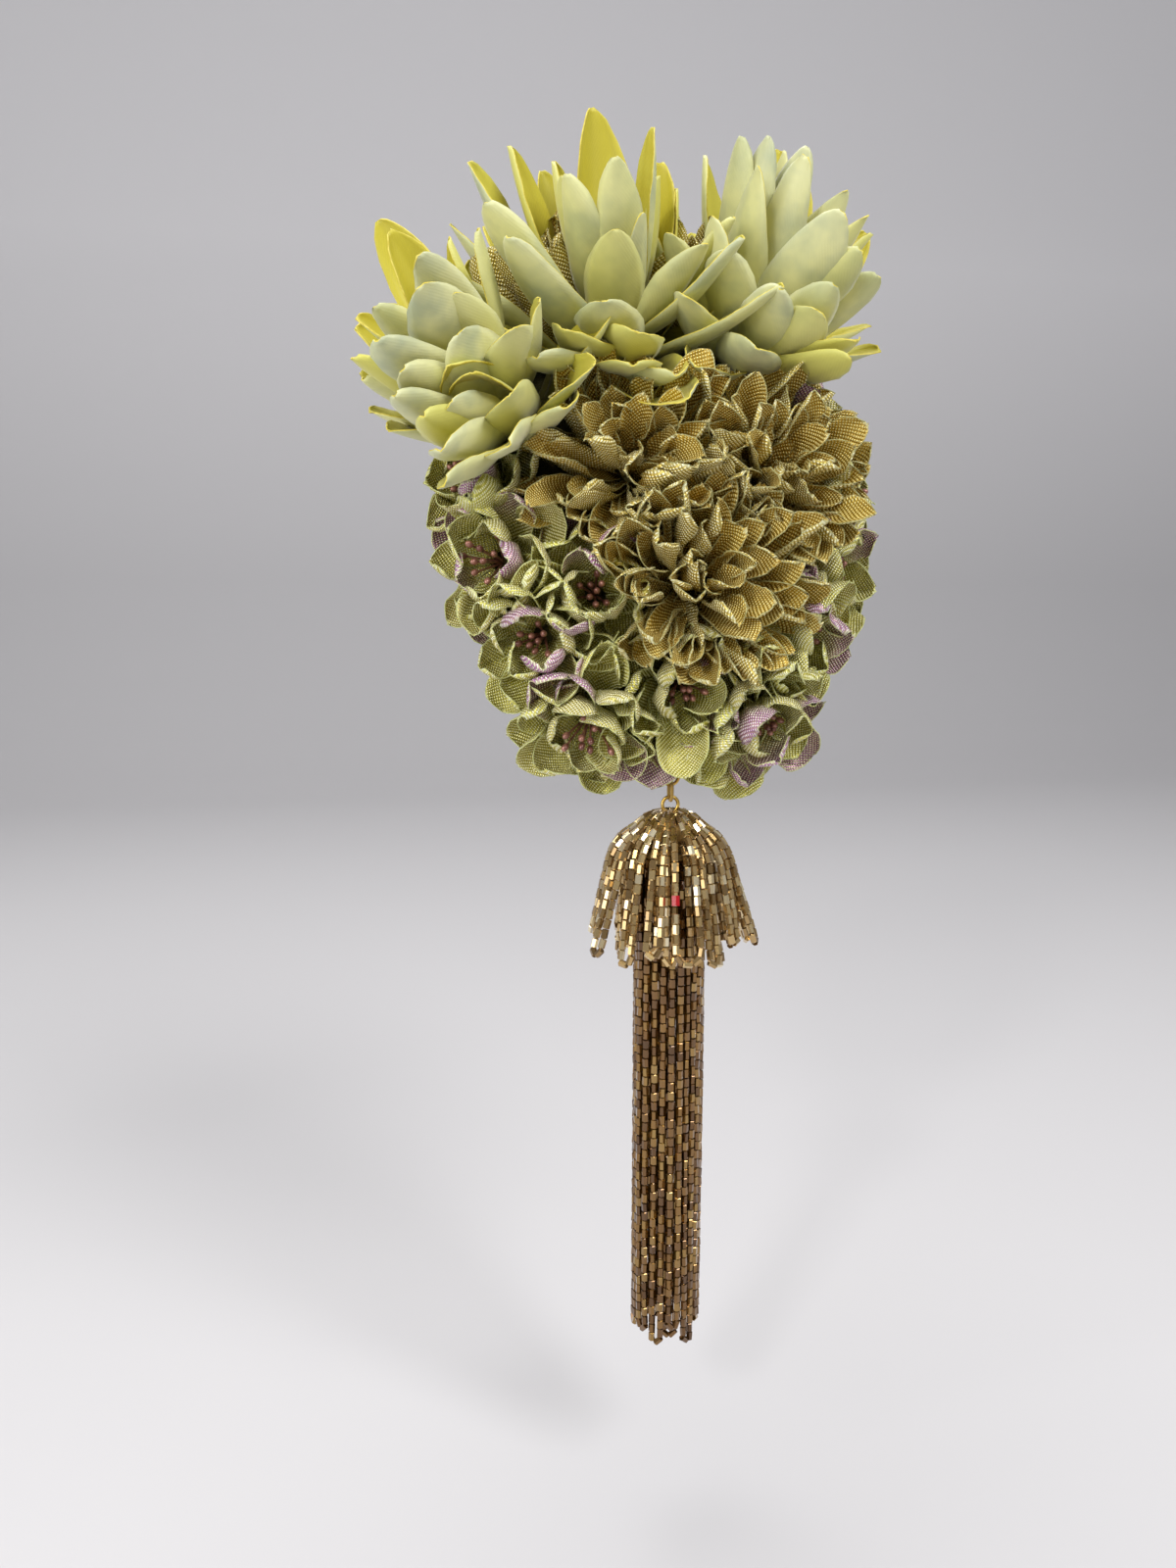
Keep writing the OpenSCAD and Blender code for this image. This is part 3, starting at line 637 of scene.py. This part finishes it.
def metal_weave(name, thread, painted_glint_colour, gap_and_root_shade, tip, edge_colour, pitch):
    """Lame: ribs of metal-coated thread over dark gaps, with frayed edges. Highlights are
    painted on as pale flecks, and shade is painted at the roots in the gap colour.
    """
    material = new_material(name)
    place = object_place(material)
    tone, along, edge, _ = petal_facts(material)
    ribs = satin_ribs(material, pitch, 40)
    cross = satin_ribs(material, pitch * 0.8, -50)
    woven = math_of(material, "MULTIPLY", ribs, cross)
    clumps = add_node(material, "TexNoise", {"Vector": place, "Scale": 700, "Detail": 2}).outputs[0]
    painted_glint_spots = math_of(material, "MULTIPLY", woven, clumps)
    dyed = math_of(material, "MULTIPLY", tone, ramp(material, along, (0.35, 0.1), (0.8, 1)))
    cloth = blend_colours(material, dyed, linear(thread), linear(tip))
    cloth = blend_colours(material, ramp(material, ribs, (0.0, 0.7), (0.4, 0)), cloth, linear(gap_and_root_shade))
    # painted highlights: pale flecks where the weave clumps, standing in for glints of light on the
    # metal thread
    painted_glints = ramp(material, painted_glint_spots, (0.13, 0), (0.25, 1))
    cloth = blend_colours(material, painted_glints, cloth, linear(painted_glint_colour))
    # painted shade: the roots, inside the head, are drawn darker towards the gap colour
    root_shade = ramp(material, along, (0.05, 0.7), (0.4, 0))
    cloth = blend_colours(material, root_shade, cloth, linear(gap_and_root_shade))
    loose = ramp(material, clumps, (0.42, 0.1), (0.62, 1))
    frayed = math_of(material, "MULTIPLY", ramp(material, edge, (0.94, 0), (1.0, 0.8)), loose)
    cloth = blend_colours(material, frayed, cloth, linear(edge_colour))
    # the painted highlights are less metallic, so that their pale colour shows as it is
    metal = math_of(material, "MULTIPLY_ADD", painted_glints, -0.3, 0.5)
    shine = math_of(material, "SUBTRACT", metal, frayed, use_clamp=True)
    bump = add_node(material, "Bump", {"Height": woven, "Strength": 0.8, "Distance": 0.3 * MM})
    surface(material, Base_Color=cloth, Metallic=shine, Roughness=0.26, Normal=bump.outputs[0])
    return material


FUZZ = {"Scale": 1200}
# the weave is drawn with its real diagonal ribs of about 0.75 mm
# colours: thread, painted highlight, gap (also the painted shade at the roots) and tip of a dyed
# petal
gold_lame = [
    metal_weave(name, *colours, "#b8b78c", 0.75 * MM)
    for name, colours in [
        ("gold_lame_outside", ("#c9b050", "#fffbd0", "#66571f", "#dcc462")),
        ("gold_lame_inside", ("#c8a23a", "#fff2a6", "#735c1c", "#deba48")),
    ]
]
gold_lame.append(mottled("frayed_lame_edge", FUZZ, "#8a8448", "#b6b482", Roughness=0.85))

GOLD_FORM = {
    "cells": (8, 14),
    "root": 0.42,
    "fullest": 0.66,
    "point": 4.5,
    "cup": 80,
    "ripple": 1.1 * MM,
    "channels": 0.2 * MM,
    "crease": 0.03,
    "fray": 0.3 * MM,
    "tip_curl": 1.4 * MM,
    "twist": 45,
    "vary": (0.65, 1.3),
}
# rings of petals of each layer: count, lean, length, width, in degrees and millimetres
GOLD_RINGS = {
    "outer": [(14, 86, 28, 10), (14, 74, 27, 10)],
    "middle": [(13, 60, 25, 10), (11, 46, 22, 10)],
    "inner": [(9, 32, 19, 9.5), (7, 16, 16, 9)],
}
GOLD_ROOTS = {
    "outer": (5 * MM, 2.6 * MM),
    "middle": (3.9 * MM, 5.6 * MM),
    "inner": (2.8 * MM, 8.6 * MM),
}

for head in ("gold_right", "gold_left", "gold_front", "gold_back", "gold_crown"):
    planes = planes_round(head)
    for layer, rings in GOLD_RINGS.items():
        rng = random.Random(head + layer)
        bm = new_cloth_mesh()
        for ring, (count, most, length, width) in enumerate(rings):
            for k in range(count):
                turn = (k + ring / 2) * 360 / count + rng.uniform(-9, 9)
                long = length * rng.uniform(0.84, 1.08) * MM
                root = GOLD_ROOTS[layer]
                lean = room_for(head, planes, turn, root, long, most, 2.5 * MM)
                lean += rng.uniform(-12, 8)
                place = petal_place(head, turn, root, lean, rng.uniform(-45, 45))
                bend = rng.uniform(14, 42)
                size = (long, width * rng.uniform(0.9, 1.1) * MM)
                add_petal(bm, place, size, lean, bend, GOLD_FORM, rng.random(), rng)
        finish_petals(bm, f"{head}_{layer}", gold_lame, 0.2 * MM)

# ---------- florets ----------
# Small flowers round the lower edge, of green lame with mauve dyed on some tips. The
# petals are pressed into deep cups round a bunch of stamens.
# colours as for the gold: thread, painted highlight, gap (also the painted shade at the roots) and
# tip of a dyed petal
green_lame = [
    metal_weave(name, *colours, "#d4d99c", 0.7 * MM)
    for name, colours in [
        ("green_lame_outside", ("#dcd766", "#ffffe0", "#969034", "#b66cba")),
        ("green_lame_inside", ("#d0ca58", "#fffdcc", "#88802c", "#a25ea2")),
    ]
]
green_lame.append(mottled("frayed_green_edge", FUZZ, "#a8ac60", "#cfd398", Roughness=0.85))

FLORET_FORM = {
    "cells": (8, 12),
    "root": 0.32,
    "fullest": 0.62,
    "point": 3.2,
    "cup": 74,
    "ripple": 1.3 * MM,
    "channels": 0.3 * MM,
    "crease": 0.03,
    "fray": 0.22 * MM,
    "tip_curl": -0.8 * MM,
    "twist": 22,
    "vary": (0.75, 1.3),
}
# rings of petals: count, lean, length, width, radius and height of the roots
FLORET_RINGS = [(6, 88, 18, 15, 2.6, 3), (6, 60, 17, 15, 2.5, 3.6), (5, 28, 14.5, 14, 2.1, 4.4)]
# petals that hang over the lower edge: turn, lean, length and width in millimetres, tone
DROOPING = {
    "floret_05": [
        (-52, 74, 22, 15, 0.1),
        (-18, 70, 23, 16, 0.95),
        (16, 72, 23, 15, 0.0),
        (50, 76, 22, 16, 0.2),
        (0, 50, 21, 15, 0.1),
    ],
    "floret_04": [(-40, 66, 18, 15, 0.1), (30, 66, 17, 15, 0.0), (66, 60, 16, 15, 0.9)],
    "floret_06": [(40, 66, 19, 15, 0.9), (-30, 70, 20, 15, 0.0), (-66, 70, 20, 15, 0.1)],
}

FLORETS = [name for name in HEADS if name.startswith("floret")]
for head in FLORETS:
    planes = planes_round(head)
    rng = random.Random(head)
    bm = new_cloth_mesh()
    for ring, (count, most, length, width, root_r, root_z) in enumerate(FLORET_RINGS):
        for k in range(count):
            turn = (k + ring / 2) * 360 / count + rng.uniform(-8, 8)
            long = length * rng.uniform(0.9, 1.08) * MM
            root = (root_r * MM, root_z * MM)
            lean = room_for(head, planes, turn, root, long, most, 5 * MM) + rng.uniform(-8, 8)
            place = petal_place(head, turn, root, lean, rng.uniform(-20, 20))
            tone = 0.95 if rng.random() < 0.25 else rng.uniform(0, 0.2)
            size = (long, width * rng.uniform(0.88, 1.08) * MM)
            bend = rng.uniform(22, 40) + 8 * ring
            add_petal(bm, place, size, lean, bend, FLORET_FORM, tone, rng)
    for turn, lean, length, width, tone in DROOPING.get(head, []):
        place = petal_place(head, turn, (2.6 * MM, 3 * MM), lean, 0)
        add_petal(bm, place, (length * MM, width * MM), lean, 16, FLORET_FORM, tone, rng)
    finish_petals(bm, head, green_lame, 0.2 * MM)

# ---------- stamens ----------
# Each floret's bunch of stamens is made of stiffened threads dipped in a pearl lacquer,
# which dries as a mauve bronze pip at each end.
STAMENS = 9
PIP_R = 0.75 * MM
# the florets whose stamens stand out of the petals
OPEN_FLORETS = ("floret_01", "floret_02", "floret_04", "floret_09")
bm = bmesh.new()
for head in FLORETS:
    rng = random.Random(head + "stamens")
    for k in range(STAMENS):
        spread = (8, 20, 32)[k % 3] + rng.uniform(-4, 4)
        foot = head_frame(head) @ turned(k * 360 / STAMENS, "Z") @ lifted(3 * MM)
        place = foot @ turned(spread, "Y")
        tall = (10.5 if head in OPEN_FLORETS else 7.5) * rng.uniform(0.9, 1.12) * MM
        stalk = bmesh.ops.create_cone(
            bm, segments=6, radius1=0.3 * MM, radius2=0.22 * MM, depth=tall, cap_ends=True
        )
        bmesh.ops.transform(bm, matrix=place @ lifted(tall / 2), verts=stalk["verts"])
        pip = bmesh.ops.create_uvsphere(bm, u_segments=12, v_segments=8, radius=PIP_R)
        longer = Matrix.Diagonal((1, 1, 1.5, 1))
        bmesh.ops.transform(bm, matrix=place @ lifted(tall) @ longer, verts=pip["verts"])
        for f in {f for v in pip["verts"] for f in v.link_faces}:
            f.smooth = True
mesh = bpy.data.meshes.new("stamens")
bm.to_mesh(mesh)
bm.free()
pearl_lacquer = mottled(
    "pearl_lacquer",
    {"Scale": 500, "Detail": 2},
    "#5e342c",
    "#b07a68",
    Metallic=0.35,
    Roughness=0.3,
    Coat_Weight=0.4,
    Coat_Roughness=0.2,
)
mesh.materials.append(pearl_lacquer)
stamens = new_object("stamens", mesh)
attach(stamens, "headpiece")
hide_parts("floret_stamens")

# ---------- tassel fittings ----------
# A brass wire eye is sewn to the lower tip, and a loop of gold thread hangs in it. The
# brass eye pin that hangs in the loop goes down through the tassel's core.
tarnish = {"Scale": 700, "Detail": 3}
drawn_brass = mottled("drawn_brass_wire", tarnish, "#b8913c", "#d8b765", Metallic=1, Roughness=0.28)
dress("tassel_eye", drawn_brass)
dress("tassel_eye_pin", drawn_brass)
gold_thread = plain_weave("gold_thread", "#8a6a24", "#c9a650", 0.3 * MM, 0.5, 0.4, 0.8)
dress("thread_loop", gold_thread)
bound_core = plain_weave("thread_bound_core", "#7a5a20", "#a8843c", 0.45 * MM, 0.55, 0.4, 0.8)
dress("tassel_cap", bound_core)

# ---------- bead strands ----------
# Six-sided glass beads with a gold lining, strung in loops: two tiers that flare out as
# a bell, and a long skirt. Their flat sides flash, and the gaps between them are dark.

# the beads are narrower and the loops more than in the CAD, as real strands lie closer
BEAD_W = 1.55 * MM
BEAD_LEN = 2.2 * MM
BELL_LOOPS = 16
BELL_FALL = 17 * MM
# the cap's top, and the radius at which the strands leave the cap
EYE_Y = -15.61 * MM
CAP_Z = -70.465 * MM
LEG_R = 5.85 * MM
# the loop of the upper tier with the red bead, and the one of the lower tier that strays
RED_LOOP = 12
STRAY_LOOP = 13
# tiers of the bell: depth of the start in mm, first and last slope, bend radius in mm
BELL_TIERS = {"bell_upper_loops": (1.9, 14, 76, 11), "bell_lower_loops": (4.6, 26, 82, 8)}


def bead_template(bm):
    """One bead along z: a hexagon with chamfered ends and a sunk hole at each end."""
    side = BEAD_W / 2
    made = bmesh.ops.create_cone(
        bm, segments=6, radius1=side, radius2=side, depth=BEAD_LEN * 0.94, cap_ends=True
    )
    faces = {f for v in made["verts"] for f in v.link_faces}
    caps = [f for f in faces if abs(f.normal.z) > 0.9]
    rim = list({e for f in caps for e in f.edges})
    bmesh.ops.bevel(
        bm, geom=rim, offset=0.12 * MM, affect="EDGES", segments=1, profile=0.5, material=-1
    )
    caps = [f for f in bm.faces if abs(f.normal.z) > 0.99]
    bmesh.ops.inset_individual(bm, faces=caps, thickness=0.42 * MM, depth=0)
    for f in caps:
        bmesh.ops.translate(bm, verts=f.verts, vec=-f.normal * 0.5 * MM)
    return list(bm.verts) + list(bm.edges) + list(bm.faces)


def along_path(points, pitch, start):
    """Places at every pitch along a line of points: (place, direction)."""
    gone, at = 0.0, start
    for a, b in zip(points, points[1:]):
        step = (b - a).length
        while at <= gone + step:
            yield a.lerp(b, (at - gone) / step), (b - a).normalized()
            at += pitch
        gone += step


red_bead = nodes["red_bead"]
red_corners = [red_bead.matrix_world @ Vector(corner) for corner in red_bead.bound_box]
red_place = sum(red_corners, Vector()) / 8


def string_beads(bm, template, points, rng, tint, darker_share):
    """Copies the template along a line of points, except where the red bead sits."""
    for spot, direction in along_path(points, BEAD_LEN, BEAD_LEN / 2):
        if (spot - red_place).length < BEAD_LEN * 0.95:
            continue
        copy = bmesh.ops.duplicate(bm, geom=template)
        verts = [v for v in copy["geom"] if isinstance(v, bmesh.types.BMVert)]
        slack = turned(rng.uniform(-5, 5), "X")
        spin = Matrix.Rotation(rng.uniform(0, math.tau), 4, "Z")
        aim = direction.to_track_quat("Z", "Y").to_matrix().to_4x4()
        place = Matrix.Translation(spot) @ aim @ slack @ spin
        bmesh.ops.transform(bm, matrix=place, verts=verts)
        shade = (rng.random(), rng.random(), darker_share, 1)
        for v in verts:
            v[tint] = shade


def bell_path(tier, narrow, longer, flare):
    """The line of one bell loop: out and down, round the turn, and back up. Its legs start
    side by side and hang closer together lower down. narrow is the angle from the loop's
    middle to a leg, and flare is how much less steeply the loop falls."""
    start, first, last, bend = BELL_TIERS[tier]
    wide = max(narrow, math.radians(90 / BELL_LOOPS))
    # a leg is a line of (radius, height). Those of the upper tier begin over the cap
    leg = [(2.0 * MM, 0.75 * MM), (4.0 * MM, 0.3 * MM), (5.9 * MM, -0.7 * MM)]
    if tier != "bell_upper_loops":
        leg = []
    begin = math.radians(first)
    for k in range(2 if leg else 0, 11):
        slope = math.radians(first + (last - flare - first) * k / 10)
        radius = LEG_R + bend * MM * (math.sin(slope) - math.sin(begin))
        leg.append((radius, -start * MM - bend * MM * (math.cos(begin) - math.cos(slope))))
    fall = math.radians(last - flare)
    low_r, low_z = leg[-1]
    low_r += (BELL_FALL + longer) * math.cos(fall)
    low_z -= (BELL_FALL + longer) * math.sin(fall)
    leg.append((low_r, low_z))
    turn_r = low_r * math.sin(narrow)
    halves = [wide + (narrow - wide) * k / len(leg) for k in range(len(leg))]
    side = [Vector((r * math.cos(h), r * math.sin(h), z)) for (r, z), h in zip(leg, halves)]
    middle = Vector((low_r * math.cos(narrow), 0, low_z))
    down = Vector((math.cos(fall), 0, -math.sin(fall)))
    turn = [
        middle + Vector((0, turn_r * math.cos(a), 0)) + down * turn_r * math.sin(a)
        for a in (math.pi * k / 8 for k in range(1, 8))
    ]
    back = [Vector((p.x, -p.y, p.z)) for p in reversed(side)]
    return side + turn + back


def beaded_piece(name, strands, darker_share):
    """One piece of bead strands. Each strand is a line of points, and the last argument, from 0
    to 1, tells how much darker its beads are drawn."""
    rng = random.Random(name)
    whole = bmesh.new()
    mesh = bpy.data.meshes.new(name)
    for points in strands:
        bm = bmesh.new()
        tint = bm.verts.layers.float_color.new("bead")
        template = bead_template(bm)
        string_beads(bm, template, points, rng, tint, darker_share)
        first_bead = [v for v in template if isinstance(v, bmesh.types.BMVert)]
        bmesh.ops.delete(bm, geom=first_bead, context="VERTS")
        bm.to_mesh(mesh)
        bm.free()
        whole.from_mesh(mesh)
    whole.to_mesh(mesh)
    whole.free()
    mesh.materials.append(gold_lined_glass)
    piece = new_object(name, mesh)
    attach(piece, "tassel")
    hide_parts(name)


gold_lined_glass = new_material("gold_lined_cut_glass")
facts = add_node(gold_lined_glass, "Attribute", attribute_name="bead")
chance, _, drawn_darker = add_node(gold_lined_glass, "SeparateColor", {0: facts.outputs["Color"]}).outputs
linings = [(0.0, "#8a6c3c"), (0.35, "#b3935c"), (0.7, "#d3b67c"), (1.0, "#f6e9c4")]
lining = ramp(gold_lined_glass, chance, *linings)
# the skirt's beads are drawn darker than the bell's
lining = blend_colours(gold_lined_glass, drawn_darker, lining, linear("#a58c58"), "MULTIPLY")
surface(
    gold_lined_glass,
    Base_Color=lining,
    Metallic=0.85,
    Roughness=0.16,
    Coat_Weight=1.0,
    Coat_Roughness=0.04,
    Coat_IOR=1.5,
)

on_tassel = Matrix.Translation((0, EYE_Y, CAP_Z))
for tier, name in enumerate(BELL_TIERS):
    rng = random.Random(name + "lay")
    strands = []
    for k in range(BELL_LOOPS):
        turn = (k + tier / 2) * 360 / BELL_LOOPS
        # the red bead's loop spreads just far enough to pass through the bead
        narrow, longer, flare = 9, 0, 0
        if (tier, k) != (0, RED_LOOP):
            turn += rng.uniform(-3, 3)
            narrow = rng.uniform(52, 74) / BELL_LOOPS
            longer, flare = rng.uniform(-3, 2.5) * MM, rng.uniform(-4, 4)
        if (tier, k) == (1, STRAY_LOOP):
            longer, flare = 4 * MM, 6
        path = bell_path(name, math.radians(narrow), longer, flare)
        place = on_tassel @ turned(turn, "Z")
        strands.append([place @ p for p in path])
    beaded_piece(name, strands, 0)

# ---------- red bead ----------
# A single red bead on one strand of the bell, at the front.
red_lined_glass = new_material("red_lined_cut_glass")
surface(red_lined_glass, Base_Color=linear("#a80410"), Roughness=0.25, Coat_Weight=0.3)
dress("red_bead", red_lined_glass)

# ---------- skirt ----------
# The long skirt hangs from the flange of the core in two rings of loops. Each loop ends
# in a short turn, and no two are quite the same length.
SKIRT_TOP = 8.8 * MM
SKIRT_LEN = 117 * MM
# rings: radius, count of loops, and how far the ring is turned, as a share of a loop
SKIRT_RINGS = [(7.5 * MM, 12, 0), (4.745 * MM, 6, 0.5)]
skirt_strands = []
rng = random.Random("skirt")
for ring_r, loops, shift in SKIRT_RINGS:
    for k in range(loops):
        half = math.radians(90 / loops)
        turn_r = ring_r * math.sin(half)
        low = -(SKIRT_LEN - turn_r - BEAD_W / 2 - rng.uniform(0, 5.5) * MM)
        reach = ring_r * math.cos(half)
        sway = rng.uniform(-0.5, 0.5) * MM
        shares = [i / 12 for i in range(13)]
        down = [Vector((reach + sway * math.sin(3 * s), turn_r, low * s)) for s in shares]
        turn = [
            Vector((reach, turn_r * math.cos(a), low - turn_r * math.sin(a)))
            for a in (math.pi * i / 6 for i in range(1, 6))
        ]
        up = [Vector((p.x, -p.y, p.z)) for p in reversed(down)]
        place = on_tassel @ lifted(-SKIRT_TOP) @ turned((k + shift) * 360 / loops, "Z")
        skirt_strands.append([place @ p for p in down + turn + up])
beaded_piece("skirt_strands", skirt_strands, 1)

# ---------- light ----------
# A pale floor that rises behind as a backdrop, and soft lamps. The paper is painted darker
# on the floor near the lamps and paler up the backdrop, as painted light that evens out the
# lamps' fall-off.
FLOOR_WIDTH = 5
FLOOR_FRONT = -1.5
FLOOR_BACK = 1.0
FLOOR_Z = -0.235
RISE_R = 0.6
BACKDROP_TOP = 2.6
profile = [(FLOOR_FRONT, 0), (FLOOR_BACK, 0)]
for k in range(1, 9):
    a = math.pi / 2 * k / 8
    profile.append((FLOOR_BACK + RISE_R * math.sin(a), RISE_R - RISE_R * math.cos(a)))
profile.append((FLOOR_BACK + RISE_R, BACKDROP_TOP))
bm = bmesh.new()
edge = [bm.verts.new((-FLOOR_WIDTH / 2, y, z)) for y, z in profile]
lines = [bm.edges.new(pair) for pair in zip(edge, edge[1:])]
across = bmesh.ops.extrude_edge_only(bm, edges=lines)["geom"]
far_side = [v for v in across if isinstance(v, bmesh.types.BMVert)]
bmesh.ops.translate(bm, verts=far_side, vec=(FLOOR_WIDTH, 0, 0))
bmesh.ops.translate(bm, verts=bm.verts, vec=(0, 0, FLOOR_Z))
bmesh.ops.recalc_face_normals(bm, faces=bm.faces)
for f in bm.faces:
    f.smooth = True
mesh = bpy.data.meshes.new("floor")
bm.to_mesh(mesh)
bm.free()
pale_paper = new_material("pale_paper")
height = add_node(pale_paper, "SeparateXYZ", {0: object_place(pale_paper)}).outputs[2]
# painted light: darker on the lit floor, paler high on the backdrop that the lamps reach less
painted_light_grade = ramp(pale_paper, height, (0.0, "#cfcdce"), (0.5, "#f2f0f1"))
surface(pale_paper, Base_Color=painted_light_grade, Roughness=0.9)
mesh.materials.append(pale_paper)
floor = new_object("floor", mesh)

world = bpy.data.worlds.new("world")
world.use_nodes = True
sky = world.node_tree.nodes["Background"]
sky.inputs["Color"].default_value = linear("#dfe0e4")
sky.inputs["Strength"].default_value = 0.45
bpy.context.scene.world = world

# the lamps are aimed a little below the base: place, size in metres, power in watts
AIM = Vector((0, 0, -0.03))
for name, place, size, power in [
    ("key", (0.45, -0.7, 0.75), 0.5, 9),
    ("fill", (-0.8, -0.5, 0.2), 0.7, 5),
    ("top", (-0.1, 0.3, 0.9), 0.6, 5),
    ("spark", (-0.5, -0.7, 0.5), 0.12, 2),
]:
    lamp = bpy.data.lights.new(name, "AREA")
    lamp.size = size
    lamp.energy = power
    holder = new_object(name, lamp)
    holder.location = place
    holder.rotation_euler = look_along(AIM - Vector(place))

bpy.context.scene.view_settings.view_transform = "Standard"
